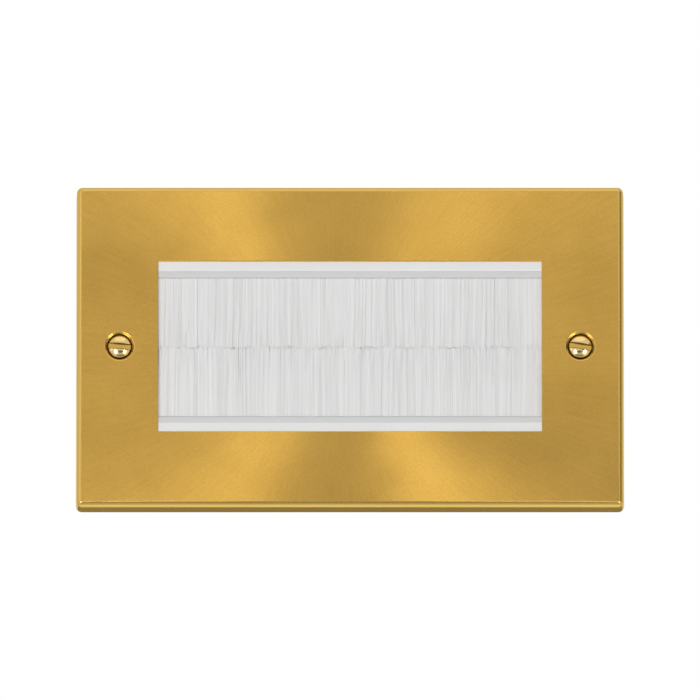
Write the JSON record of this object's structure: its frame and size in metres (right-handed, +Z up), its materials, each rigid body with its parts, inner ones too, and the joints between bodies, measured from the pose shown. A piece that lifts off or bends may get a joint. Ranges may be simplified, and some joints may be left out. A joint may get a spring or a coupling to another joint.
{
  "type": "brush wall plate",
  "caption": "Landscape wall plate in satin brass with a wide aperture closed by facing fringes of bristles that cables pass through.",
  "frame": {"origin": "centre of the skirt's rim, on the surface of the wall", "axes": "+X to the right as the front is seen, +Y into the wall, +Z up"},
  "size_m": [0.1436, 0.0261, 0.086],
  "materials": {
    "satin_brass": "fine satin, worked in circles about the middle, under clear lacquer",
    "polished_brass": "polished",
    "plain_brass": "as machined",
    "white_moulding": "fine moulded texture",
    "grey_extrusion": "extruded, matt",
    "white_filament": "fine nylon filaments",
    "plated_steel": "bright zinc plate",
    "black_nylon": "moulded nylon"
  },
  "bodies": {
    "root": {"front_plate": "satin_brass", "plate_studs": "plated_steel", "stud_nuts": "plated_steel", "mounting_frame": "black_nylon", "brush_frame": "white_moulding", "brush_keeper": "white_moulding", "upper_strip_holder": "grey_extrusion", "lower_strip_holder": "grey_extrusion", "upper_strip_channel": "plated_steel", "lower_strip_channel": "plated_steel", "upper_core_wire": "plated_steel", "lower_core_wire": "plated_steel", "upper_bristles": "white_filament", "lower_bristles": "white_filament", "left_fixing_screw": "polished_brass", "right_fixing_screw": "polished_brass", "left_screw_retainer": "white_moulding", "right_screw_retainer": "white_moulding", "earth_tab": "plain_brass", "earth_terminal": "plain_brass", "earth_screw": "plated_steel"}
  },
  "joints": []
}
